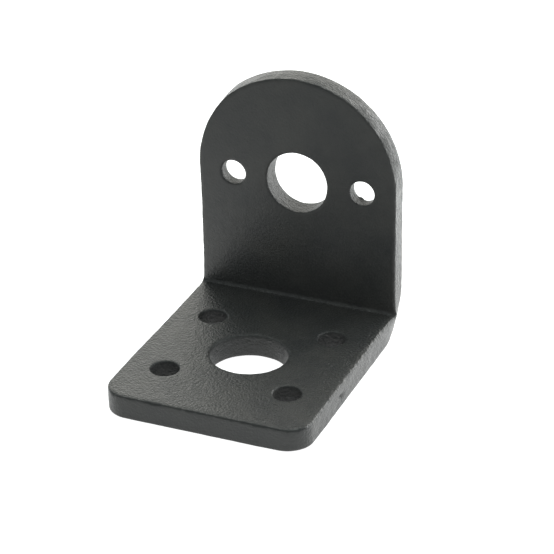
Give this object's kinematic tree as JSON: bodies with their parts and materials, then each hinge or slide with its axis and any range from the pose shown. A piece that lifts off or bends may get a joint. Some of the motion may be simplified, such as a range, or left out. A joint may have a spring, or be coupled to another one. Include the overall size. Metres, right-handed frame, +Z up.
{
  "type": "motor mounting bracket",
  "caption": "L-shaped sheet steel bracket with a round-topped upright, bored and countersunk for a small geared motor, and a drilled base with round front corners.",
  "frame": {"origin": "on the ground under the middle of the bracket, where the centre of its box stands", "axes": "+X across the bracket, -Y forward along the base from the upright, +Z up along the upright"},
  "size_m": [0.026, 0.033, 0.0329],
  "materials": {
    "powder_coat": "black powder coat, fine orange peel, half matt"
  },
  "bodies": {
    "root": {"motor_bracket": "powder_coat"}
  },
  "joints": []
}
